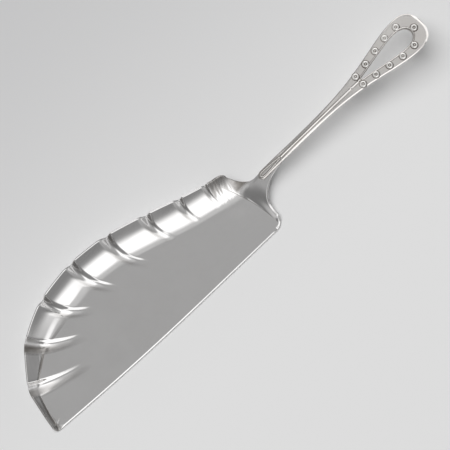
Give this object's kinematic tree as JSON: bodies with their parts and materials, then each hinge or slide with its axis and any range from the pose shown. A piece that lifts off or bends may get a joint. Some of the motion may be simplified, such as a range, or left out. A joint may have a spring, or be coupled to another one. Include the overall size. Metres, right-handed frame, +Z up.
{
  "type": "crumb knife",
  "caption": "Polished crumb knife: a flat blade with a fluted back wall that catches crumbs, and a slender handle ending in a teardrop opening ringed by small studs.",
  "frame": {"origin": "under the middle of the object's box, on the table that the blade lies on", "axes": "+X from the blade's tip to the handle's end, +Y from the cutting edge to the fluted back, +Z up from the table"},
  "size_m": [0.3164, 0.0674, 0.0199],
  "materials": {
    "blade_silver": "polished",
    "handle_silver": "polished",
    "stud_silver": "polished"
  },
  "bodies": {
    "root": {"blade": "blade_silver", "handle": "handle_silver", "stud_01": "stud_silver", "stud_02": "stud_silver", "stud_03": "stud_silver", "stud_04": "stud_silver", "stud_05": "stud_silver", "stud_06": "stud_silver", "stud_07": "stud_silver", "stud_08": "stud_silver", "stud_09": "stud_silver", "stud_10": "stud_silver", "stud_11": "stud_silver"}
  },
  "joints": []
}
